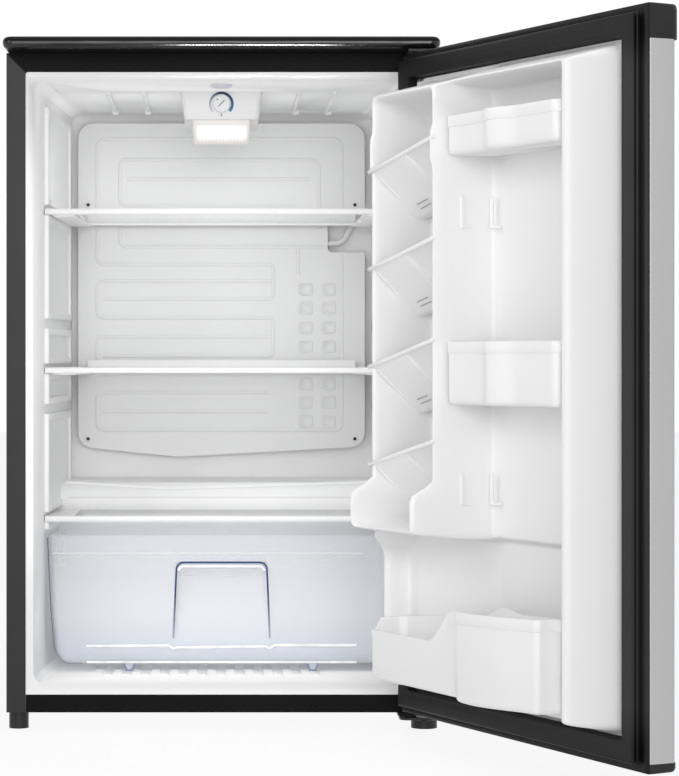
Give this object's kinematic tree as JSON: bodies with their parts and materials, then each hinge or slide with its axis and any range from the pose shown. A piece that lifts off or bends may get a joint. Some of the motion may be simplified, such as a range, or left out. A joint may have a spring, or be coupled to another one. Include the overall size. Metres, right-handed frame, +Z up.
{
  "type": "mini fridge",
  "caption": "Compact free-standing refrigerator with its door open: glass shelves, a clear crisper drawer, door bins and tilted can cradles.",
  "frame": {"origin": "on the floor, at the middle of the underside of the rear foot bar", "axes": "+X to the right of someone facing the fridge, +Y from its face to its back, +Z up"},
  "size_m": [0.7335, 0.994, 0.84],
  "materials": {
    "black_steel": "satin",
    "black_plastic": "satin",
    "silver_skin": "satin",
    "plain_steel": "satin",
    "white_plastic": "satin",
    "clear_plastic": "gloss",
    "shelf_glass": "gloss",
    "bulb_glass": "gloss",
    "foam": "matte",
    "white_aluminium": "satin",
    "copper_tube": "satin",
    "gasket_rubber": "matte",
    "grey_rubber": "matte",
    "nylon": "satin",
    "blue_print": "satin"
  },
  "bodies": {
    "cabinet": {"side_panel_left": "black_steel", "side_panel_right": "black_steel", "front_top_bar": "black_steel", "front_sill": "black_steel", "worktop": "black_plastic", "back_panel": "plain_steel", "base_plate": "plain_steel", "compressor_bay_panel": "plain_steel", "cabinet_foam": "foam", "cabinet_liner": "white_plastic", "evaporator_plate": "white_aluminium", "evaporator_spacers": "nylon", "evaporator_screws": "plain_steel", "suction_tube": "white_aluminium", "control_housing": "white_plastic", "thermostat": "nylon", "dial_scale": "blue_print", "light_lens": "clear_plastic", "lamp_socket": "nylon", "light_bulb": "bulb_glass", "compressor": "black_steel", "compressor_grommets": "grey_rubber", "relay_cover": "black_plastic", "cord_gland": "grey_rubber", "evaporation_tray": "nylon", "drain_tube": "nylon", "condenser_coil": "black_steel", "condenser_wires": "black_steel", "condenser_brackets": "black_plastic", "filter_drier": "copper_tube", "capillary_tube": "copper_tube", "discharge_tube": "copper_tube", "rear_foot_bar": "black_plastic", "upper_hinge_bracket": "black_steel", "lower_hinge_bracket": "black_steel", "hinge_screws": "plain_steel"},
    "door": {"door_skin": "silver_skin", "door_foam": "foam", "door_liner": "white_plastic", "door_gasket": "gasket_rubber", "door_top_trim": "black_plastic", "door_bottom_trim": "black_plastic", "hinge_bushings": "nylon", "can_cradles": "white_plastic", "can_tray": "white_plastic"},
    "upper_bin": {"bin_upper": "white_plastic"},
    "middle_bin": {"bin_middle": "white_plastic"},
    "lower_bin": {"bin_lower": "white_plastic"},
    "upper_shelf": {"upper_shelf_frame": "white_plastic", "upper_shelf_glass": "shelf_glass"},
    "lower_shelf": {"lower_shelf_frame": "white_plastic", "lower_shelf_glass": "shelf_glass"},
    "crisper_cover": {"crisper_cover_frame": "white_plastic", "crisper_cover_glass": "shelf_glass"},
    "drawer": {"crisper_drawer": "clear_plastic"},
    "knob": {"thermostat_knob": "white_plastic"},
    "left_foot": {"left_levelling_foot": "black_plastic"},
    "right_foot": {"right_levelling_foot": "black_plastic"}
  },
  "joints": [
    {"name": "door_hinge", "type": "hinge", "parent": "cabinet", "child": "door", "pos_m": [0.2452, -0.4675, 0.4], "axis": [0, 0, 1], "range_deg": [-115, 20]},
    {"name": "upper_shelf_slide", "type": "slide", "parent": "cabinet", "child": "upper_shelf", "axis": [0, -1, 0], "range_m": [0, 0.13]},
    {"name": "lower_shelf_slide", "type": "slide", "parent": "cabinet", "child": "lower_shelf", "axis": [0, -1, 0], "range_m": [0, 0.13]},
    {"name": "crisper_cover_slide", "type": "slide", "parent": "cabinet", "child": "crisper_cover", "axis": [0, -1, 0], "range_m": [0, 0.13]},
    {"name": "drawer_slide", "type": "slide", "parent": "cabinet", "child": "drawer", "axis": [0, -1, 0], "range_m": [0, 0.13]},
    {"name": "knob_turn", "type": "hinge", "parent": "cabinet", "child": "knob", "pos_m": [0, -0.314, 0.775], "axis": [0, 1, 0], "range_deg": [-135, 165]},
    {"name": "left_foot_screw", "type": "hinge", "parent": "cabinet", "child": "left_foot", "pos_m": [-0.249, -0.4, 0], "axis": [0, 0, 1], "continuous": true},
    {"name": "right_foot_screw", "type": "hinge", "parent": "cabinet", "child": "right_foot", "pos_m": [0.249, -0.4, 0], "axis": [0, 0, 1], "continuous": true},
    {"name": "upper_bin_lift", "type": "slide", "parent": "door", "child": "upper_bin", "axis": [0, 0, 1], "range_m": [0, 0.03]},
    {"name": "middle_bin_lift", "type": "slide", "parent": "door", "child": "middle_bin", "axis": [0, 0, 1], "range_m": [0, 0.03]},
    {"name": "lower_bin_lift", "type": "slide", "parent": "door", "child": "lower_bin", "axis": [0, 0, 1], "range_m": [0, 0.03]}
  ]
}
